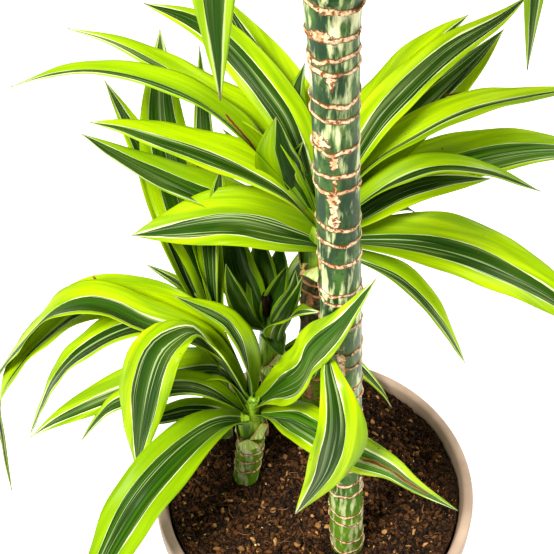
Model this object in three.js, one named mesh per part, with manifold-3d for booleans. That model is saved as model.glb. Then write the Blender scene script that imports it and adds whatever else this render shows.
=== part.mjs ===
// A potted corn plant: five canes of unlike height in one round pot, each with its head of
// arching striped leaves. Millimetres, +Z up, +Y away from the viewer. The origin is the
// centre of the pot's flat underside.
import * as THREE from 'three';
import { mergeVertices } from 'three/addons/utils/BufferGeometryUtils.js';
import Module from 'manifold-3d';

// ---- Driving dimensions ----
const POT = {
  height: 215, rimRadius: 120, rimBand: 20, rimRound: 2, bandStep: 3, footRadius: 88,
  wall: 5, floor: 6, sides: 40,
};
const SOIL_DROP = 18; // from the rim's top down to the soil
const GAP = 0.3; // between pieces that touch
const RELIEF = 2; // height of the soil's lumps
const CANE_DEPTH = 60; // length of each cane that stands in the soil
const CANE_SIDES = 12;
const SCAR = { lip: 0.9, height: 3 }; // the raised ring that a fallen leaf leaves on a cane
const FLARE = 30; // length over which a cane takes on the radius of its top
const BLADE_THICKNESS = 0.9;
const TIP_WIDTH = 1.2;
const NECK = 0.35; // usual width of a leaf at its root, as a share of its widest
const FOLD = { tip: 14, root: 45 }; // degrees that each half rises from the midrib, the root's on top
const DROOP = 0.2; // how far the edges sink at the tip, as a share of the half width
const SEGMENT = 36; // length of one step along a leaf
const WELD = 0.05; // edges shorter than this are merged where leaves are fused
const SOIL = POT.height - SOIL_DROP;

// Each cane: its foot on the soil, its radius, how far it leans to +X per millimetre of height,
// the height of its top above the soil, and the heights of its scars.
const CANES = {
  tall: {
    foot: [24, -41], radius: 12.2, lean: -0.06, top: 470, topRadius: 14,
    scars: [6, 19.5, 41.5, 53.5, 79, 93, 108, 124, 141, 160, 184, 196, 218, 231, 252, 273, 281, 304,
      319, 330, 357, 366, 383, 402, 411, 428, 436, 447, 463],
  },
  medium: {
    foot: [1, 65], radius: 12.8, lean: 0, top: 185, topRadius: 13,
    scars: [14, 34, 52, 74, 96, 114, 136, 150, 166, 178],
  },
  middle: { foot: [-28, 85], radius: 9.5, lean: -0.1, top: 52, topRadius: 9.5, scars: [12, 26, 40] },
  back: { foot: [-70, 57], radius: 6.5, lean: -0.016, top: 98, topRadius: 6.5, scars: [16, 38, 56, 80] },
  short: { foot: [-52, 19], radius: 10, lean: 0.1, top: 48, topRadius: 10.4, scars: [15, 27, 39] },
};

// Each head: the profile of its core of clasping leaf bases, as radius and height above the
// soil, and its leaves. A leaf has its height on the core, its compass angle in degrees from
// +X, the stations of its midrib as [reach, rise, side] from its root, its width, the roll
// and twist of its blade in degrees, how far along it is widest, its width at the root as a
// share of the widest, and the length over which it swells to its widest.
const leaf = (height, angle, stations, width, roll = 0, twist = 0, widest = 0.4, neck = NECK,
  swell = 0.4) => ({ height, angle, stations, width, roll, twist, widest, neck, swell });

// An arching leaf by its length and by how steeply it leaves the core and ends.
function arch(height, angle, length, rise, fall, width) {
  const steps = 3;
  const stations = [];
  let reach = 0;
  let up = 0;
  for (let i = 0; i < steps; i += 1) {
    const slope = THREE.MathUtils.degToRad(THREE.MathUtils.lerp(rise, fall, (i + 0.5) / steps));
    reach += (length / steps) * Math.cos(slope);
    up += (length / steps) * Math.sin(slope);
    stations.push([reach, up]);
  }
  return leaf(height, angle, stations, width);
}

// The leaves round the top of the tall cane: each stands a step higher and steeper than the
// one before it, and those on the front side stay well raised.
function crown() {
  const leaves = [];
  const count = 15;
  for (let i = 0; i < count; i += 1) {
    const age = 1 - i / (count - 1);
    const angle = 20 + i * 137.5;
    const front = -Math.sin(THREE.MathUtils.degToRad(angle));
    const rise = THREE.MathUtils.lerp(84, 50 + 22 * front, age);
    const fall = THREE.MathUtils.lerp(60, -35 + 50 * front, age);
    const size = Math.sqrt(age);
    leaves.push(arch(548 - 60 * age, angle, 130 + 90 * size, rise, fall, 20 + 14 * size));
  }
  return leaves;
}

const HEADS = {
  short: {
    core: [[10, 48.3], [10.5, 72], [7, 84], [4.5, 88], [4.5, 100]],
    leaves: [
      leaf(66, 229, [[40, 30], [93, 29], [133, 6], [187, -48]], 48),
      leaf(70, 190, [[37, 19], [62, 19], [94, 13]], 22),
      leaf(76, 188, [[15, 41, -3], [31, 51, -6], [77, 39, -9], [133, 14, -8], [160, -5, -6]], 36, -15),
      leaf(72, 186, [[32, 55, 15], [58, 63, 15], [92, 47, 11], [108, 29, 10], [124, 4, 12]], 27),
      leaf(80, 172, [[30, 61, -5], [69, 76, -7], [111, 53, -4], [146, 9, -2],
        [179, -68, -1]], 33, 0, -20),
      leaf(80, 158, [[45, 71, -7], [115, 66, -6], [155, 36, 18], [183, -10, 45], [185, -57, 58],
        [174, -98, 77]], 42, -25),
      leaf(84, 165, [[29, 64, 5], [72, 80, 8], [94, 87, 6], [116, 86, 6], [142, 66, 5],
        [171, 27, 8], [217, -44, 6]], 40, 15, -25),
      leaf(82, 230, [[16, 59, -6], [23, 82, -15], [31, 99, -21], [47, 103, -24], [60, 98, -26],
        [69, 74, -29], [75, 41, -32], [83, -16, -36]], 39, -25, 0, 0.56, 0.2, 0.2),
      leaf(88, 160, [[5, 53, -3], [13, 70, -7], [25, 79, -9], [57, 88, -7]], 28),
      leaf(82, 302, [[26, 45, 7], [62, 103, 2], [80, 147, -2], [109, 202, -6],
        [124, 246, 3]], 38, 60, 20),
      leaf(74, 294, [[41, 42, 10], [77, 77, 9], [104, 98, 10], [119, 99, 21], [130, 90, 37], [138, 71, 52],
        [152, 44, 79]], 33, 15, 30),
      leaf(84, 300, [[39, 55, 10], [69, 104, 8], [87, 138, 2], [100, 159, -2], [112, 165, -8],
        [126, 155, -12], [131, 133, -14], [130, 98, -20], [123, 59, -36]], 36, 12, 0, 0.78, 0.15, 0.22),
    ],
  },
  back: {
    core: [[6.5, 98.3], [6.5, 120], [3.5, 136], [1, 155]],
    leaves: [
      leaf(126, 130, [[22, 39, 6], [59, 80, -2], [78, 119, -2], [102, 166, 6]], 32),
      leaf(130, 105, [[19, 45, 3], [51, 81, 12], [72, 131, 16], [82, 200, 10]], 46),
      leaf(132, 90, [[9, 53, 3], [31, 93, 4], [52, 145, 5], [61, 196, 5]], 20),
      leaf(124, 172, [[9, 23], [25, 39, -6], [49, 58, -6]], 14),
      leaf(128, 200, [[4, 35, -10], [6, 67, -16], [13, 97, -22]], 24, -30),
      arch(118, 98, 120, 25, -65, 24),
    ],
  },
  middle: {
    core: [[9.5, 52.3], [9, 88], [5, 104], [3, 118]],
    leaves: [
      leaf(96, 190, [[16, 20, 6], [25, 52, 18], [32, 87, 29], [35, 110, 34]], 19, -80),
      leaf(98, 110, [[6, 16, 7], [17, 35, 14], [26, 51, 17], [36, 91, 19]], 36, -20),
      leaf(98, 90, [[3, 21, 6], [15, 36, 6], [23, 54, 7], [29, 72, 9]], 28),
      leaf(98, 45, [[-2, 9], [1, 31, -2], [6, 50, -5], [10, 63, -7]], 20, 45),
      leaf(96, 70, [[5, 16, 2], [15, 32, 2], [24, 49, 2], [28, 65, 2]], 24, 20),
      leaf(94, 330, [[8, 20, -6], [20, 50, -10], [28, 74, -15], [31, 98, -18]], 16, -60),
      leaf(96, 335, [[17, 32, -14], [29, 67, -26], [35, 88, -29], [38, 102, -29]], 14, -60),
      leaf(90, 315, [[9, 6, -5], [20, -4, -6]], 22),
      leaf(92, 315, [[21, 16, -11], [35, 53, -17], [58, 90, -28], [75, 105, -29]], 32, -20, 30),
      leaf(60, 0, [[35, 10, 8], [65, -10, 3], [87, -29, -7], [98, -45, -14]], 20),
      arch(88, 62, 150, 40, -50, 24),
    ],
  },
  medium: {
    core: [[13, 185.3], [12.5, 205], [8, 225], [4, 245], [1.5, 262]],
    leaves: [
      leaf(220, 168, [[42, 64, 6], [67, 91, 6], [95, 106, 6], [131, 112, 6], [164, 107, 7],
        [201, 88, 5]], 26),
      leaf(222, 163, [[40, 64, -6], [76, 86, -8], [108, 104, -6], [136, 115, -5], [167, 119, -4]], 30),
      leaf(220, 170, [[23, 26, -4], [43, 45, -6], [66, 68, -9]], 20),
      leaf(228, 147, [[21, 64, 4], [38, 89, 5], [67, 114, 5], [94, 123, 5], [131, 121, 4]], 34, -20),
      leaf(232, 135, [[19, 43, -3], [39, 72, -5], [65, 95, -6], [95, 121, -5]], 40, -15),
      leaf(228, 98, [[6, 32, 6], [18, 67, 14], [23, 86, 14], [30, 104, 8]], 24),
      leaf(214, 177, [[21, 39, 7], [46, 60, 7], [76, 75, 6], [119, 88, 3], [144, 91, 2]], 36, -15),
      leaf(212, 175, [[24, 9, -3], [55, 20, -3], [86, 35, -2], [123, 56, -2], [153, 76, -2]], 36),
      leaf(206, 184, [[11, 13, 5], [40, 30, 8], [58, 35, 8], [79, 32, 6],
        [125, 18, 2]], 50, -35, 0, 0.32),
      leaf(208, 186, [[13, 10, -3], [39, 18, -1], [58, 25, -4], [66, 40, -6],
        [64, 66, -6]], 26, -30, -55),
      leaf(226, 215, [[19, 28, -9], [28, 59, -12], [27, 91, -13]], 34, 55, 0, 0.5),
      leaf(224, 240, [[7, 21, -9], [11, 40, -18], [9, 55, -17], [3, 67, -13]], 18),
      leaf(226, 32, [[32, 58, -1], [57, 81], [92, 102, -1], [129, 114, -3], [153, 120]], 31, 15),
      leaf(228, 44, [[50, 46, 8], [72, 61, 9], [94, 76, 9], [119, 86, 8], [143, 90, 6]], 38),
      leaf(222, 34, [[36, 25, 4], [62, 37, 6], [94, 56, 7], [125, 75, 7], [151, 93, 8]], 42, 10),
      leaf(218, 20, [[28, 45, -1], [59, 65, -2], [100, 78, -2], [160, 76, -3], [184, 70, -3]], 31),
      leaf(215, 11, [[51, 21, 14], [85, 30, 17], [125, 40, 14], [162, 39, 12], [195, 31, 9]], 44, 20),
      leaf(210, 6, [[27, 38, -7], [49, 55, -6], [74, 63, -6], [107, 57, -8], [143, 37, -8]], 25),
      leaf(206, 8, [[28, 25, -5], [53, 43, -6], [81, 50, -6], [110, 49, -5]], 32, 10),
      leaf(206, 346, [[34, 10], [73, 15], [113, 9], [159, -13], [190, -43]], 50, 20),
      leaf(202, 342, [[35, -6], [57, -13], [75, -28], [93, -51], [110, -81]], 26),
      leaf(208, 30, [[30, 8], [56, 14, -11], [70, 5, -15]], 14),
      leaf(205, 186, [[20, 4, -6], [46, 2, -10], [65, -1, -15], [71, -20, -10]], 24),
      arch(226, 86, 220, 55, -20, 28),
      arch(212, 72, 200, 25, -50, 28),
      arch(206, 112, 130, 15, -60, 28),
      arch(204, 54, 120, 15, -60, 28),
    ],
  },
  tall: {
    core: [[14, 470.3], [14, 500], [11, 530], [5, 560], [1.5, 585]],
    leaves: [
      leaf(530, 245, [[30, 62], [66, 106], [96, 92], [105, 40], [105, -11, -1],
        [109, -50, 2]], 46, -10),
      leaf(510, 8, [[34, 46], [64, 58], [84, 30, 2], [90, -20, 2], [97, -97]], 26, 50, 30),
      ...crown(),
    ],
  },
};

// ---- Shapes ----
const wasm = await Module();
wasm.setup();

// Smooth rise from 0 to 1.
const ease = (t) => THREE.MathUtils.smoothstep(t, 0, 1);

function solid(geometry) {
  const bare = geometry.clone();
  bare.deleteAttribute('normal');
  bare.deleteAttribute('uv');
  const merged = mergeVertices(bare, 1e-4);
  return new wasm.Manifold(new wasm.Mesh({
    numProp: 3,
    vertProperties: new Float32Array(merged.attributes.position.array),
    triVerts: new Uint32Array(merged.index.array),
  }));
}

function geometryOf(manifold) {
  const mesh = manifold.getMesh();
  const geometry = new THREE.BufferGeometry();
  geometry.setAttribute('position', new THREE.BufferAttribute(mesh.vertProperties, 3));
  geometry.setIndex(new THREE.BufferAttribute(mesh.triVerts, 1));
  return geometry;
}

// A turned solid about the Z axis from its profile of [radius, height], closed onto the axis.
function turned(profile, sides) {
  const points = [[0, profile[0][1]], ...profile, [0, profile.at(-1)[1]]];
  const geometry = new THREE.LatheGeometry(points.map(([r, z]) => new THREE.Vector2(r, z)), sides);
  return geometry.rotateX(Math.PI / 2);
}

// Half width of a leaf along its length, as a share of its widest.
function taper(along, { widest, neck, swell }) {
  const widening = ease((along - widest + swell) / swell);
  const narrowing = Math.max(0, (along - widest) / (1 - widest));
  return (neck + (1 - neck) * widening) * (1 - narrowing ** 1.8);
}

// One blade: a folded strip of even thickness along its midrib, swelling to its widest and then
// narrowing to a point.
function bladeGeometry(spec, axis) {
  const { height, angle, stations, width, roll, twist } = spec;
  const turn = THREE.MathUtils.degToRad(angle);
  const outward = new THREE.Vector3(Math.cos(turn), Math.sin(turn), 0);
  const sideways = new THREE.Vector3(-Math.sin(turn), Math.cos(turn), 0);
  const root = new THREE.Vector3(axis[0], axis[1], SOIL + height);
  const at = ([reach, rise, side = 0]) => root.clone()
    .addScaledVector(outward, reach)
    .addScaledVector(sideways, side)
    .add(new THREE.Vector3(0, 0, rise));
  const midrib = new THREE.CatmullRomCurve3([at([0, 0]), ...stations.map(at)], false, 'catmullrom');
  const steps = Math.max(3, Math.round(midrib.getLength() / SEGMENT));
  const positions = [];
  for (let i = 0; i <= steps; i += 1) {
    const along = i / steps;
    const centre = midrib.getPointAt(along);
    const tangent = midrib.getTangentAt(along);
    const across = sideways.clone().addScaledVector(tangent, -sideways.dot(tangent)).normalize();
    const up = new THREE.Vector3().crossVectors(tangent, across);
    const bank = THREE.MathUtils.degToRad(roll + twist * along);
    const right = across.clone().multiplyScalar(Math.cos(bank)).addScaledVector(up, Math.sin(bank));
    const normal = up.clone().multiplyScalar(Math.cos(bank)).addScaledVector(across, -Math.sin(bank));
    const fold = THREE.MathUtils.degToRad(FOLD.tip + FOLD.root * (1 - along) ** 1.5);
    const half = Math.max(TIP_WIDTH / 2, (width / 2) * taper(along, spec));
    for (const under of [0, -BLADE_THICKNESS]) {
      for (const edge of [-1, 0, 1]) {
        const point = centre.clone()
          .addScaledVector(right, half * edge * Math.cos(fold))
          .addScaledVector(normal, under + half * Math.abs(edge) * (Math.sin(fold) - DROOP * along));
        positions.push(point.x, point.y, point.z);
      }
    }
  }
  // Each ring holds three points of the upper face, then three of the lower.
  const index = [];
  const quad = (a, b, c, d) => index.push(a, b, c, a, c, d);
  const ring = 6;
  for (let i = 0; i < steps; i += 1) {
    const near = i * ring;
    const far = near + ring;
    for (const k of [0, 1]) {
      quad(near + k, far + k, far + k + 1, near + k + 1);
      index.push(near + k + 3, far + k + 4, far + k + 3, near + k + 3, near + k + 4, far + k + 4);
    }
    quad(near, near + 3, far + 3, far);
    quad(near + 2, far + 2, far + 5, near + 5);
  }
  for (const k of [0, 1]) {
    quad(k, k + 1, k + 4, k + 3);
    const end = steps * ring + k;
    quad(end, end + 3, end + 4, end + 1);
  }
  const geometry = new THREE.BufferGeometry();
  geometry.setAttribute('position', new THREE.Float32BufferAttribute(positions, 3));
  geometry.setIndex(index);
  return geometry;
}

// Where a cane's axis stands at a height above the soil.
const caneAt = ({ foot, lean }, height) => [foot[0] + lean * height, foot[1]];

// Takes an upright solid about the Z axis to a cane's foot and shears it to the cane's lean.
const leaning = ({ foot, lean }) => new THREE.Matrix4().set(
  1, 0, lean, foot[0],
  0, 1, 0, foot[1],
  0, 0, 1, SOIL,
  0, 0, 0, 1,
);

// A cane: a ringed solid of revolution that leans evenly, with its lower end in the soil.
function caneGeometry(cane) {
  const { radius, top, topRadius, scars } = cane;
  const radiusAt = (z) => THREE.MathUtils.lerp(topRadius, radius, Math.min(1, (top - z) / FLARE));
  const profile = [[radius, -CANE_DEPTH]];
  for (const scar of scars) {
    profile.push([radiusAt(scar), scar - SCAR.height], [radiusAt(scar) + SCAR.lip, scar]);
  }
  profile.push([topRadius, top]);
  return turned(profile, CANE_SIDES).applyMatrix4(leaning(cane));
}

// The hole that a cane stands in: the same slanted cylinder, a little wider, through the soil's top.
function caneHole(cane) {
  const clear = cane.radius + GAP;
  return turned([[clear, -CANE_DEPTH - GAP], [clear, 5 * RELIEF]], CANE_SIDES).applyMatrix4(leaning(cane));
}

const innerRadius = (z) => THREE.MathUtils.lerp(
  POT.footRadius,
  POT.rimRadius - POT.bandStep,
  z / POT.height,
) - POT.wall;

// The pot: a tapered shell with a rounded band along its rim.
function potGeometry() {
  const { height, rimRadius, rimBand, rimRound, bandStep, footRadius, floor } = POT;
  const bandFoot = height - rimBand;
  const bodyRadius = THREE.MathUtils.lerp(footRadius, rimRadius - bandStep, bandFoot / height);
  const profile = [
    [footRadius - rimRound, 0],
    [footRadius, rimRound],
    [bodyRadius, bandFoot],
    [rimRadius - rimRound, bandFoot + rimRound],
    [rimRadius, bandFoot + 2 * rimRound],
    [rimRadius, height - rimRound],
    [rimRadius - rimRound, height],
    [innerRadius(height) + rimRound, height],
    [innerRadius(height), height - rimRound],
    [innerRadius(floor), floor],
  ];
  return turned(profile, POT.sides);
}

// The soil: fills the pot to its level, with a lumpy top and a hole for each cane.
function soilGeometry() {
  const base = POT.floor + GAP;
  const edge = innerRadius(SOIL) - GAP;
  const rings = 5;
  const profile = [[innerRadius(base) - GAP, base], [edge, SOIL - RELIEF]];
  for (let i = 1; i <= rings; i += 1) profile.push([edge * (1 - i / (rings + 1)), SOIL]);
  const body = turned(profile, POT.sides / 2);
  const place = body.attributes.position;
  for (let i = 0; i < place.count; i += 1) {
    const [x, y, z] = [place.getX(i), place.getY(i), place.getZ(i)];
    if (z === Math.fround(SOIL)) {
      place.setZ(i, SOIL + RELIEF * Math.sin(x * 0.11 + 1) * Math.cos(y * 0.13) - RELIEF / 2);
    }
  }
  let soil = solid(body);
  for (const cane of Object.values(CANES)) soil = soil.subtract(solid(caneHole(cane)));
  return geometryOf(soil);
}

// A head: its core of clasping leaf bases, with its blades fused to it.
function headGeometry(cane, head) {
  const axis = caneAt(cane, head.core[0][1]);
  const core = turned(head.core, CANE_SIDES).translate(axis[0], axis[1], SOIL);
  let whole = solid(core);
  for (const blade of head.leaves) whole = whole.add(solid(bladeGeometry(blade, axis)));
  // The outer body alone, without the pockets that blades close off between them.
  const bodies = whole.simplify(WELD).decompose();
  bodies.sort((a, b) => b.volume() - a.volume());
  return geometryOf(bodies[0]);
}

// ---- Finishes ----
const finish = (color, roughness) => new THREE.MeshStandardMaterial({ color, roughness, metalness: 0 });
const taupe = finish('#b09b8b', 0.6);
const earth = finish('#3a2618', 1);
const bark = finish('#5f7a3e', 0.5);
const foliage = finish('#86bb1c', 0.35);

// ---- The plant ----
const plant = new THREE.Group();

function place(name, geometry, material) {
  const mesh = new THREE.Mesh(geometry, material);
  mesh.name = name;
  plant.add(mesh);
}

place('pot', potGeometry(), taupe);
place('soil', soilGeometry(), earth);
for (const [name, cane] of Object.entries(CANES)) {
  place(`cane_${name}`, caneGeometry(cane), bark);
  place(`head_${name}`, headGeometry(cane, HEADS[name]), foliage);
}

export default plant;
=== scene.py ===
# %% [markdown]
# # A potted corn plant
#
# Five bare canes of unlike height stand in one round pot, and each carries a head of arching
# leaves with bright margins and a dark centre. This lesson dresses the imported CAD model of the
# plant: it lays finer leaves where the coarse ones are, rings the canes, rounds the pot and
# fills it with loose potting mix, and gives every surface a finish made only of shader nodes.

# %% Load the frame
import math
import random

import bpy
import numpy as np
from mathutils import Matrix, Vector, noise


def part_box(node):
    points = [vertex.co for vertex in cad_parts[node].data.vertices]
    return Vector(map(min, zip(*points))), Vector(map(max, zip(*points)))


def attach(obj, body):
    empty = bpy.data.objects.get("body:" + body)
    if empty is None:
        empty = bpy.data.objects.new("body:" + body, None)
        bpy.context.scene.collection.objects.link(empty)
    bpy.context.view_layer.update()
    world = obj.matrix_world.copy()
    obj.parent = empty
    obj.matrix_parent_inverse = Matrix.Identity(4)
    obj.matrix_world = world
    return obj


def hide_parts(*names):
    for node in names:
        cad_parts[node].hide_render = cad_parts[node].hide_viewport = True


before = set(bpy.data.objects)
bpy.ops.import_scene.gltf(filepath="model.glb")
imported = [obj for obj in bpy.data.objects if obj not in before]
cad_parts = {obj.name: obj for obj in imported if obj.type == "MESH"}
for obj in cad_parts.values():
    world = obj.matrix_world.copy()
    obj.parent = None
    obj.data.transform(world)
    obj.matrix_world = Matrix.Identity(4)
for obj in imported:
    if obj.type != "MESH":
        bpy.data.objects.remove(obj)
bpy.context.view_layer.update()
print("CAD nodes:", ", ".join(sorted(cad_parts)))

# %% [markdown]
# ## Sizes
#
# The tables below hold real sizes in millimetres, as a gardener would measure them, and the
# meshes are in metres. The pot's rim is read from its CAD node's box, and the soil and the canes
# are measured from it, so the dressed plant stands where the plain one does.

# %% Sizes of the pot and the soil
MM = 0.001
POT_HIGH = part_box("pot")[1]
RIM_RADIUS = POT_HIGH.x / MM
RIM_TOP = POT_HIGH.z / MM
SOIL_UNDER_RIM = 18
SOIL_TOP = RIM_TOP - SOIL_UNDER_RIM
FOOT_RADIUS = 88
WALL = 5
BASE = 6
RIM_BAND = 20
BAND_STEP = 3
print(f"rim radius {RIM_RADIUS:.0f} mm, rim {RIM_TOP:.0f} mm up, soil {SOIL_TOP:.0f} mm up")

# %% [markdown]
# ## Canes
#
# A cane has its foot on the soil, its radius, how far it leans to +X for each millimetre of
# height, the height and radius of its top, and the heights of its leaf scars, all above the
# soil. The real scars are uneven, so they are given one by one.

# %% The canes
CANES = {
    "tall": dict(
        foot=(24, -41), radius=12.2, lean=-0.06, top=470, top_radius=14,
        scars=[6, 19.5, 41.5, 53.5, 79, 93, 108, 124, 141, 160, 184, 196, 218, 231, 252, 273, 281, 304,
               319, 330, 357, 366, 383, 402, 411, 428, 436, 447, 463],
    ),
    "medium": dict(
        foot=(1, 65), radius=12.8, lean=0, top=185, top_radius=13,
        scars=[14, 34, 52, 74, 96, 114, 136, 150, 166, 178],
    ),
    "middle": dict(foot=(-28, 85), radius=9.5, lean=-0.1, top=52, top_radius=9.5, scars=[12, 26, 40]),
    "back": dict(foot=(-70, 57), radius=6.5, lean=-0.016, top=98, top_radius=6.5,
                 scars=[16, 38, 56, 80]),
    "short": dict(foot=(-52, 19), radius=10, lean=0.1, top=48, top_radius=10.4, scars=[15, 27, 39]),
}
print("canes:", ", ".join(CANES))

# %% [markdown]
# ## Heads of leaves
#
# A leaf has its height on the head's core, its compass angle in degrees from +X, the stations
# of its midrib as (reach, rise, side) from its root, its width, the roll and twist of its blade
# in degrees, how far along it is widest, its width at the root as a share of the widest, and
# the length over which it swells. `dark` says which share across the blade, from -1 to 1, the
# dark centre covers, `tear` is where a dry crack starts and ends, along and across, and
# `lined_and_lit` how strongly the white lines show, where below 1 the leaf is also painted as in
# shade, the more so the lower it is, or above 1 how light the centre of a young leaf is.
#
# A leaf that shows is given station by station. One that fills the back of a head is an even
# arch, and the tall cane's crown is made of such arches, a golden angle apart round the stem.

# %% Ways to write a leaf
GOLDEN_ANGLE = 137.5
HEADS = {}


def leaf(height, angle, stations, width, roll=0, twist=0, widest=0.4, neck=0.42, swell=0.4,
         dark=None, tear=None, lined_and_lit=1):
    return dict(height=height, angle=angle, stations=stations, width=width, roll=roll, twist=twist,
                widest=widest, neck=neck, swell=swell, dark=dark, tear=tear, lined_and_lit=lined_and_lit)


def arch(height, angle, length, rise, fall, width, steps=3):
    """An arching leaf by its length and by how steeply it leaves the core and ends."""
    stations = []
    reach = up = 0
    for step in range(steps):
        slope = math.radians(rise + (fall - rise) * (step + 0.5) / steps)
        reach += length / steps * math.cos(slope)
        up += length / steps * math.sin(slope)
        stations.append((reach, up))
    return leaf(height, angle, stations, width)


def crown(count=15, first_angle=20):
    """The leaves round the top of the tall cane, each a step higher and steeper than the last."""

    def grown(young, old):
        return young + (old - young) * age

    leaves = []
    for index in range(count):
        age = 1 - index / (count - 1)
        angle = first_angle + index * GOLDEN_ANGLE
        front = -math.sin(math.radians(angle))
        leaves.append(arch(
            height=548 - 60 * age,
            angle=angle,
            length=130 + 90 * age**0.5,
            rise=grown(84, 50 + 22 * front),
            fall=grown(60, -35 + 50 * front),
            width=20 + 14 * age**0.5,
        ))
    return leaves


def grow_head(name, core, leaves):
    """Enters a head in the table: its core as (radius, height) and its leaves."""
    HEADS[name] = dict(core=core, leaves=leaves)
    print(f"{name}: {len(leaves)} leaves")

# %% Leaves of the short cane
grow_head("short", core=[(10, 48.3), (10.5, 72), (7, 84), (4.5, 88), (4.5, 100)], leaves=[
    leaf(66, 229, [(40, 30), (93, 29), (133, 6), (187, -48)], 48, dark=(-0.5, 0.38)),
    leaf(70, 190, [(37, 19), (62, 19), (94, 13)], 22, dark=(-0.35, 0.8)),
    leaf(76, 188, [(15, 41, -3), (31, 51, -6), (77, 39, -9), (133, 14, -8), (160, -5, -6)], 36, -15,
         dark=(-0.2, 0.58)),
    leaf(72, 186, [(32, 55, 15), (58, 63, 15), (92, 47, 11), (108, 29, 10), (124, 4, 12)], 27,
         dark=(-0.35, 0.8)),
    leaf(80, 172, [(30, 61, -5), (69, 76, -7), (111, 53, -4), (146, 9, -2), (179, -68, -1)], 33, 0,
         -20, dark=(-0.3, 0.75)),
    leaf(80, 158, [(45, 71, -7), (115, 66, -6), (155, 36, 18), (183, -10, 45), (185, -57, 58),
         (174, -98, 77)], 42, -25, dark=(0.15, 0.55), tear=((0.44, -1), (0.39, 1))),
    leaf(84, 165, [(29, 64, 5), (72, 80, 8), (94, 87, 6), (116, 86, 6), (142, 66, 5), (171, 27, 8),
         (217, -44, 6)], 40, 15, -25, dark=(-0.3, 0.8), lined_and_lit=1.3),
    leaf(82, 230, [(16, 59, -6), (23, 82, -15), (31, 99, -21), (47, 103, -24), (60, 98, -26),
         (69, 74, -29), (75, 41, -32), (83, -16, -36)], 39, -25, 0, 0.56, 0.2, 0.2,
         dark=(-0.45, 0.65)),
    leaf(88, 160, [(5, 53, -3), (13, 70, -7), (25, 79, -9), (57, 88, -7)], 28, dark=(-0.1, 0.8),
         lined_and_lit=1.3),
    leaf(82, 302, [(26, 45, 7), (62, 103, 2), (80, 147, -2), (109, 202, -6), (124, 246, 3)], 38, 60,
         20, dark=(-0.75, 0.45), lined_and_lit=1.4),
    leaf(74, 294, [(41, 42, 10), (77, 77, 9), (104, 98, 10), (119, 99, 21), (130, 90, 37),
         (138, 71, 52), (152, 44, 79)], 33, 15, 30, dark=(-0.7, 0.42), lined_and_lit=1.7,
         tear=((0.66, -0.16), (0.9, 0.02))),
    leaf(84, 300, [(39, 55, 10), (69, 104, 8), (87, 138, 2), (100, 159, -2), (112, 165, -8),
         (126, 155, -12), (131, 133, -14), (130, 98, -20), (123, 59, -36)], 36, 12, 0, 0.78, 0.15,
         0.22, dark=(-0.65, 0.25)),
])

# %% Leaves of the back cane
grow_head("back", core=[(6.5, 98.3), (6.5, 120), (3.5, 136), (1, 155)], leaves=[
    leaf(126, 130, [(22, 39, 6), (59, 80, -2), (78, 119, -2), (102, 166, 6)], 32, dark=(-0.4, 0.6),
         lined_and_lit=0.6),
    leaf(130, 105, [(19, 45, 3), (51, 81, 12), (72, 131, 16), (82, 200, 10)], 46, dark=(-0.6, 0.58),
         lined_and_lit=0.6),
    leaf(132, 90, [(9, 53, 3), (31, 93, 4), (52, 145, 5), (61, 196, 5)], 20, dark=(-0.75, 0.65),
         lined_and_lit=0.6),
    leaf(124, 172, [(9, 23), (25, 39, -6), (49, 58, -6)], 14),
    leaf(128, 200, [(4, 35, -10), (6, 67, -16), (13, 97, -22)], 24, -30, lined_and_lit=0.5),
    arch(118, 98, 120, 25, -65, 24),
])

# %% Leaves of the middle cane
grow_head("middle", core=[(9.5, 52.3), (9, 88), (5, 104), (3, 118)], leaves=[
    leaf(96, 190, [(16, 20, 6), (25, 52, 18), (32, 87, 29), (35, 110, 34)], 19, -80,
         dark=(-0.7, 0.75), lined_and_lit=0.3),
    leaf(98, 110, [(6, 16, 7), (17, 35, 14), (26, 51, 17), (36, 91, 19)], 36, -20, dark=(-0.7, 0.7),
         lined_and_lit=0.2),
    leaf(98, 90, [(3, 21, 6), (15, 36, 6), (23, 54, 7), (29, 72, 9)], 28, dark=(-0.75, 0.7),
         lined_and_lit=0.2),
    leaf(98, 45, [(-2, 9), (1, 31, -2), (6, 50, -5), (10, 63, -7)], 20, 45, dark=(-0.7, 0.75),
         lined_and_lit=0.2),
    leaf(96, 70, [(5, 16, 2), (15, 32, 2), (24, 49, 2), (28, 65, 2)], 24, 20, dark=(-0.75, 0.7),
         lined_and_lit=0.2),
    leaf(94, 330, [(8, 20, -6), (20, 50, -10), (28, 74, -15), (31, 98, -18)], 16, -60,
         dark=(-0.7, 0.7), lined_and_lit=0.3),
    leaf(96, 335, [(17, 32, -14), (29, 67, -26), (35, 88, -29), (38, 102, -29)], 14, -60,
         dark=(-0.7, 0.7), lined_and_lit=0.3),
    leaf(90, 315, [(9, 6, -5), (20, -4, -6)], 22, dark=(-0.75, 0.75), lined_and_lit=0.2),
    leaf(92, 315, [(21, 16, -11), (35, 53, -17), (58, 90, -28), (75, 105, -29)], 32, -20, 30),
    leaf(60, 0, [(35, 10, 8), (65, -10, 3), (87, -29, -7), (98, -45, -14)], 20),
    arch(88, 62, 150, 40, -50, 24),
])

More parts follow.
